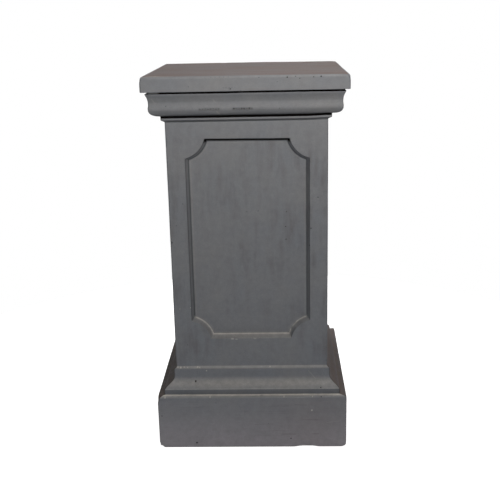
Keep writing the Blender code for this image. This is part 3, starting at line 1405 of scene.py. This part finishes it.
def add_node(
        tree: bpy.types.NodeTree, kind: str, links: dict[Any, Any] | None = None, **settings: Any) -> Any:
    """Add a node, set it up and link it.

    Args:
        tree: The tree that it goes in.
        kind: The node's type.
        links: What each input takes, by name or number: another node's output, or a value.
        settings: The node's own settings.

    Returns:
        The node.
    """
    node = tree.nodes.new(kind)
    for name, value in settings.items():
        setattr(node, name, value)
    for key, value in (links or {}).items():
        if isinstance(value, bpy.types.NodeSocket):
            tree.links.new(value, node.inputs[key])
        else:
            node.inputs[key].default_value = value
    return node


@dataclass(frozen=True)
class SlateGreyCastStone:
    """Cast stone with a slate-grey face, poured into a smooth mould and left outdoors.

    The mould's face gives the eye a close, matt skin of fine sand. Weather gives it clouds and dark streaks
    that run down the die and along the plinth, and brown and pale dust on what looks up. Its colour also
    holds painted shade, black in the creases and darker under the cap and along the corners, and the pale on
    what looks up holds painted highlight too. It is paler towards the plinth's foot. The clouds are about 90
    mm across, the ripples of the mould 11 mm and the streaks 6 mm wide.
    The real sand, of about half a millimetre, is too fine to show in the render, so its grain is drawn
    1.6 mm wide.
    """

    grey: str = "#65686d"
    cool_grey: str = "#5f646c"
    foot_grey: str = "#77767d"
    # Paler grey towards the plinth's foot.
    clay: str = "#655550"
    # Pale of the dust and of the painted highlight on what looks up.
    dust: str = "#c0beba"
    streak: str = "#433d3c"
    # Black of the grime and of the painted shade in the creases.
    grime: str = "#08080a"
    bare: str = "#cfccc4"
    # Share of the colour that is left where the painted shade is full.
    film: float = 0.70
    roughness: float = 0.66
    dust_roughness: float = 0.22
    cloud_length: float = 0.090
    streak_width: float = 0.006
    ripple: float = 0.011
    ripple_depth: float = 0.0005
    grain: float = 0.0016
    grain_depth: float = 0.00018

    def patterns(self, tree: bpy.types.NodeTree) -> dict[str, Any]:
        """Lay out the patterns that the colour, the roughness and the relief share.

        Args:
            tree: The material's node tree.

        Returns:
            Each pattern's output by name.
        """
        place = add_node(tree, "ShaderNodeTexCoord").outputs["Object"]
        found = {
            "height": add_node(tree, "ShaderNodeSeparateXYZ", {"Vector": place}).outputs["Z"],
            "cloud": add_node(
                tree, "ShaderNodeTexNoise",
                {"Vector": place, "Scale": 1 / self.cloud_length, "Detail": 4.0,
                 "Roughness": 0.6}).outputs["Fac"],
            "mottle": add_node(
                tree, "ShaderNodeTexNoise",
                {"Vector": place, "Scale": 1 / self.ripple, "Detail": 3.0, "Roughness": 0.6}).outputs["Fac"],
            "grain": add_node(
                tree, "ShaderNodeTexNoise",
                {"Vector": place, "Scale": 1 / self.grain, "Detail": 2.0, "Roughness": 0.7}).outputs["Fac"]}
        for name, stretch in (
                ("fall", (0.34, 0.34, 0.06)), ("drag", (0.06, 0.06, 1.6)), ("sweep", (0.04, 0.25, 1.0))):
            drawn = add_node(tree, "ShaderNodeMapping", {"Vector": place, "Scale": stretch})
            found[name] = add_node(
                tree, "ShaderNodeTexNoise",
                {"Vector": drawn.outputs["Vector"], "Scale": 1 / self.streak_width, "Detail": 3.0,
                 "Roughness": 0.65}).outputs["Fac"]
        for stain in Stain:
            layer = add_node(tree, "ShaderNodeAttribute", attribute_name=stain.value)
            found[stain.value] = layer.outputs["Fac"]
        return found

    def make(self) -> bpy.types.Material:
        """Make the material.

        Returns:
            The material.
        """
        material = bpy.data.materials.new("slate_grey_cast_stone")
        material.use_nodes = True
        tree = material.node_tree
        shader = tree.nodes["Principled BSDF"]
        found = self.patterns(tree)
        # A name, the pattern that it comes from, the pattern's low and high value, and what each turns into.
        for name, source, low, high, start, end in (
                ("die_foot", "height", 0.160, 0.200, 0.0, 1.0),
                ("die_head", "height", 0.600, 0.690, 1.0, 0.0),
                ("plinth", "height", 0.100, 0.116, 1.0, 0.0),
                ("top", "height", 0.756, 0.759, 0.0, 1.0),
                ("cool", "cloud", 0.3, 0.7, 0.0, 1.0),
                # Paler towards the plinth's foot, mottled.
                ("foot_paling", "height", 0.015, 0.085, 1.0, 0.15),
                ("foot_paling_mottle", "mottle", 0.2, 0.7, 0.75, 1.0),
                ("clay_cloud", "cloud", 0.25, 0.65, 0.60, 1.12),
                ("clay_sweep", "sweep", 0.30, 0.62, 0.85, 1.12),
                ("dust_and_highlight_mottle", "mottle", 0.25, 0.7, 0.84, 1.10),
                ("fall_line", "fall", 0.45, 0.68, 0.0, 0.42),
                ("fall_cloud", "cloud", 0.42, 0.62, 0.10, 1.0),
                ("drag_line", "drag", 0.55, 0.75, 0.0, 0.40),
                ("drag_cloud", "cloud", 0.45, 0.60, 0.10, 1.0),
                ("sweep_line", "sweep", 0.48, 0.75, 0.0, 0.32),
                ("mottle_shade", "mottle", 0.25, 0.75, 0.905, 1.095),
                ("grain_shade", "grain", 0.25, 0.75, 0.88, 1.12),
                # Painted shade darkens the colour by its share.
                ("painted_shade_scale", "film", 0.0, 1.0, 1.0, self.film),
                ("grime_and_shade_mottle", "mottle", 0.2, 0.6, 1.0, 1.2),
                ("smooth", "mottle", 0.3, 0.7, self.roughness - 0.05, self.roughness + 0.06)):
            found[name] = add_node(
                tree, "ShaderNodeMapRange",
                {"Value": found[source], "From Min": low, "From Max": high, "To Min": start,
                 "To Max": end}).outputs["Result"]
        # A name, and the patterns that it is the product of.
        for name, first, *others in (
                ("foot_pale", "foot_paling", "foot_paling_mottle", "plinth"),
                ("clay_share", "clay", "clay_cloud", "clay_sweep"),
                ("dust_and_highlight_share", "dust", "dust_and_highlight_mottle"),
                ("falls", "fall_line", "fall_cloud", "die_foot", "die_head"),
                ("drags", "drag_line", "drag_cloud", "plinth"),
                ("sweeps", "sweep_line", "top"),
                ("shade", "mottle_shade", "grain_shade", "painted_shade_scale"),
                ("grime_and_shade_share", "grime", "grime_and_shade_mottle")):
            found[name] = found[first]
            for other in others:
                found[name] = add_node(
                    tree, "ShaderNodeMath", {0: found[name], 1: found[other]},
                    operation="MULTIPLY").outputs[0]
        # Each colour goes over the last one by its share, and the shade darkens all those before it: random
        # mottle and grain, times the painted shade.
        colour: Any = linear(self.grey)
        for share, code in (
                ("cool", self.cool_grey), ("foot_pale", self.foot_grey), ("clay_share", self.clay),
                ("dust_and_highlight_share", self.dust), ("falls", self.streak), ("drags", self.streak),
                ("sweeps", self.streak), ("shade", None), ("grime_and_shade_share", self.grime), ("bare", self.bare)):
            if code is None:
                colour = add_node(
                    tree, "ShaderNodeVectorMath", {0: colour, "Scale": found[share]},
                    operation="SCALE").outputs["Vector"]
                continue
            colour = add_node(
                tree, "ShaderNodeMix", {0: found[share], 6: colour, 7: linear(code)},
                data_type="RGBA").outputs[2]
        tree.links.new(colour, shader.inputs["Base Color"])
        dusty = add_node(
            tree, "ShaderNodeMath", {0: found["dust"], 1: found["clay"]}, operation="MAXIMUM").outputs[0]
        rough = add_node(
            tree, "ShaderNodeMath", {0: dusty, 1: self.dust_roughness, 2: found["smooth"]},
            operation="MULTIPLY_ADD").outputs[0]
        tree.links.new(rough, shader.inputs["Roughness"])
        ripples = add_node(
            tree, "ShaderNodeBump",
            {"Height": found["mottle"], "Strength": 0.5, "Distance": self.ripple_depth})
        sand = add_node(
            tree, "ShaderNodeBump",
            {"Height": found["grain"], "Strength": 0.5, "Distance": self.grain_depth,
             "Normal": ripples.outputs["Normal"]})
        tree.links.new(sand.outputs["Normal"], shader.inputs["Normal"])
        return material


@dataclass(frozen=True)
class PaintedShadeAndDirt:
    """Black painted shade for the creases and pits, with some dirt in the pinholes. It has no gloss at all,
    so the shade stays black.

    Its crumbs are a few millimetres across.
    """

    black: str = "#030304"
    brown: str = "#0d0c0b"
    roughness: float = 1.0
    crumb: float = 0.004
    crumb_depth: float = 0.0005

    def make(self) -> bpy.types.Material:
        """Make the material.

        Returns:
            The material.
        """
        material = bpy.data.materials.new("painted_shade_and_dirt")
        material.use_nodes = True
        tree = material.node_tree
        shader = tree.nodes["Principled BSDF"]
        place = add_node(tree, "ShaderNodeTexCoord").outputs["Object"]
        crumbs = add_node(
            tree, "ShaderNodeTexNoise",
            {"Vector": place, "Scale": 1 / self.crumb, "Detail": 3.0}).outputs["Fac"]
        mixed = add_node(
            tree, "ShaderNodeMix", {0: crumbs, 6: linear(self.black), 7: linear(self.brown)},
            data_type="RGBA")
        tree.links.new(mixed.outputs[2], shader.inputs["Base Color"])
        shader.inputs["Roughness"].default_value = self.roughness
        shader.inputs["Specular IOR Level"].default_value = 0.0
        raised = add_node(
            tree, "ShaderNodeBump", {"Height": crumbs, "Strength": 0.5, "Distance": self.crumb_depth})
        tree.links.new(raised.outputs["Normal"], shader.inputs["Normal"])
        return material


@dataclass(frozen=True)
class RawCoreFace:
    """The same stone where the core was drawn out. It gives the eye a paler, coarse face full of open pores.

    The pores are about 9 mm apart and the coarse sand is 3 mm wide.
    """

    grey: str = "#6e6b68"
    pale: str = "#82807b"
    pore: str = "#3c3a38"
    roughness: float = 0.9
    cloud_length: float = 0.05
    pore_spacing: float = 0.009
    pore_edge: tuple[float, float] = (0.10, 0.20)
    pore_depth: float = 0.001
    grain: float = 0.003
    grain_depth: float = 0.0005

    def make(self) -> bpy.types.Material:
        """Make the material.

        Returns:
            The material.
        """
        material = bpy.data.materials.new("raw_core_face")
        material.use_nodes = True
        tree = material.node_tree
        shader = tree.nodes["Principled BSDF"]
        place = add_node(tree, "ShaderNodeTexCoord").outputs["Object"]
        cloud = add_node(
            tree, "ShaderNodeTexNoise", {"Vector": place, "Scale": 1 / self.cloud_length, "Detail": 4.0})
        grain = add_node(
            tree, "ShaderNodeTexNoise", {"Vector": place, "Scale": 1 / self.grain, "Detail": 2.0})
        cells = add_node(tree, "ShaderNodeTexVoronoi", {"Vector": place, "Scale": 1 / self.pore_spacing})
        pores = add_node(
            tree, "ShaderNodeMapRange",
            {"Value": cells.outputs["Distance"], "From Min": self.pore_edge[0],
             "From Max": self.pore_edge[1]}).outputs["Result"]
        stone = add_node(
            tree, "ShaderNodeMix", {0: cloud.outputs["Fac"], 6: linear(self.grey), 7: linear(self.pale)},
            data_type="RGBA")
        holed = add_node(
            tree, "ShaderNodeMix", {0: pores, 6: linear(self.pore), 7: stone.outputs[2]}, data_type="RGBA")
        tree.links.new(holed.outputs[2], shader.inputs["Base Color"])
        shader.inputs["Roughness"].default_value = self.roughness
        sunk = add_node(
            tree, "ShaderNodeBump", {"Height": pores, "Strength": 0.6, "Distance": self.pore_depth})
        sand = add_node(
            tree, "ShaderNodeBump",
            {"Height": grain.outputs["Fac"], "Strength": 0.6, "Distance": self.grain_depth,
             "Normal": sunk.outputs["Normal"]})
        tree.links.new(sand.outputs["Normal"], shader.inputs["Normal"])
        return material


@dataclass(frozen=True)
class PaleFloor:
    """Pale matt studio floor. It looks white from afar, and throws only a little light back up."""

    colour: str = "#f4f4f3"
    glow: float = 0.80
    bounce: float = 0.20
    roughness: float = 0.9

    def make(self) -> bpy.types.Material:
        """Make the material.

        Returns:
            The material.
        """
        material = bpy.data.materials.new("pale_studio_floor")
        material.use_nodes = True
        tree = material.node_tree
        shader = tree.nodes["Principled BSDF"]
        shader.inputs["Base Color"].default_value = linear(self.colour)
        shader.inputs["Roughness"].default_value = self.roughness
        shader.inputs["Specular IOR Level"].default_value = 0.0
        shader.inputs["Emission Color"].default_value = linear("#ffffff")
        seen = add_node(tree, "ShaderNodeLightPath").outputs["Is Camera Ray"]
        glow = add_node(
            tree, "ShaderNodeMapRange", {"Value": seen, "To Min": self.bounce, "To Max": self.glow})
        tree.links.new(glow.outputs["Result"], shader.inputs["Emission Strength"])
        return material


@dataclass
class Camera:
    """Camera at the photograph's place, worked out from the pedestal's edges in it."""

    place: Vector = field(default_factory=lambda: Vector((0.05897, -1.79065, 0.87937)))
    turn: float = radians(2.000)
    tip: float = radians(15.844)
    roll: float = radians(-1.276)
    lens: float = 61.53
    sensor: float = 36.0

    def build(self) -> bpy.types.Object:
        """Make the camera and look through it.

        Returns:
            The camera's object.
        """
        data = bpy.data.cameras.new("photo_camera")
        data.lens = self.lens
        data.sensor_width = self.sensor
        data.dof.use_dof = False
        camera = bpy.data.objects.new("photo_camera", data)
        camera.matrix_world = (
            Matrix.Translation(self.place)
            @ Matrix.Rotation(self.turn, 4, "Z")
            @ Matrix.Rotation(pi / 2 - self.tip, 4, "X")
            @ Matrix.Rotation(self.roll, 4, "Z"))
        bpy.context.scene.collection.objects.link(camera)
        bpy.context.scene.camera = camera
        return camera


@dataclass
class Softbox:
    """A rectangular soft lamp, which is itself kept out of the picture."""

    name: str
    place: tuple[float, float, float]
    aim: tuple[float, float, float]
    width: float
    height: float
    power: float
    colour: str = "#ffffff"

    def build(self) -> bpy.types.Object:
        """Hang the lamp.

        Returns:
            The lamp's object.
        """
        data = bpy.data.lights.new(self.name, "AREA")
        data.shape = "RECTANGLE"
        data.size = self.width
        data.size_y = self.height
        data.energy = self.power
        data.color = linear(self.colour)[:3]
        lamp = bpy.data.objects.new(self.name, data)
        place = Vector(self.place)
        lamp.location = place
        lamp.rotation_euler = (Vector(self.aim) - place).to_track_quat("-Z", "Y").to_euler()
        lamp.visible_camera = False
        bpy.context.scene.collection.objects.link(lamp)
        return lamp


@dataclass
class Studio:
    """White room with a pale floor and soft lamps."""

    floor_radius: float = 1.0
    floor_sides: int = 96
    floor_drop: float = 0.1 * MM
    air: float = 0.03
    lamps: tuple[Softbox, ...] = (
        Softbox("cap_softbox", (0.14, -0.72, 1.00), (0.0, -0.157, 0.90), 1.2, 0.30, 2.15, "#fff4e6"),
        Softbox("neck_softbox", (0.12, -0.72, 0.85), (0.0, -0.157, 0.85), 1.2, 0.30, 3.7, "#fff6ea"),
        Softbox("room_softbox", (0.20, -3.00, 1.10), (0.0, 0.0, 0.4), 2.4, 1.4, 20.8),
        Softbox("top_softbox", (0.0, 0.10, 1.80), (0.0, 0.0, 0.0), 1.0, 0.9, 9.9),
        Softbox("right_softbox", (1.10, 0.35, 0.80), (0.0, 0.10, 0.6), 0.7, 0.5, 2.8),
        Softbox("left_softbox", (-1.10, 0.35, 0.80), (0.0, 0.10, 0.6), 0.7, 0.5, 1.7),
        Softbox("back_softbox", (0.0, 1.60, 0.90), (0.0, 0.0, 0.5), 1.4, 0.9, 12.0))

    def build(self, floor_finish: bpy.types.Material) -> None:
        """Lay the floor, hang the lamps and light the air.

        Args:
            floor_finish: The floor's material.
        """
        shape = bmesh.new()
        bmesh.ops.create_circle(
            shape, cap_ends=True, segments=self.floor_sides, radius=self.floor_radius,
            matrix=Matrix.Translation((0.0, 0.0, -self.floor_drop)))
        floor = new_object("studio_floor", shape)
        floor.data.materials.append(floor_finish)
        for lamp in self.lamps:
            lamp.build()
        world = bpy.data.worlds.new("white_room")
        world.use_nodes = True
        tree = world.node_tree
        tree.nodes.clear()
        seen = add_node(tree, "ShaderNodeLightPath").outputs["Is Camera Ray"]
        strength = add_node(
            tree, "ShaderNodeMapRange", {"Value": seen, "To Min": self.air, "To Max": 1.0}).outputs["Result"]
        white = add_node(tree, "ShaderNodeBackground", {"Color": linear("#ffffff"), "Strength": strength})
        add_node(tree, "ShaderNodeOutputWorld", {"Surface": white.outputs["Background"]})
        bpy.context.scene.world = world
        bpy.context.scene.view_settings.view_transform = "Standard"


def main() -> None:
    """Build the camera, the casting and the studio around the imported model."""
    logging.basicConfig(level=logging.INFO, format="%(name)s: %(message)s")
    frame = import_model()
    LOG.info("packed model has the nodes %s", sorted(frame["nodes"]))
    Camera().build()
    casting = Casting().build(SlateGreyCastStone().make(), RawCoreFace().make(), PaintedShadeAndDirt().make())
    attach(casting, "root")
    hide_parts("pedestal")
    LOG.info("%s has %d faces", casting.name, len(casting.data.polygons))
    Studio().build(PaleFloor().make())


if __name__ == "__main__":
    main()
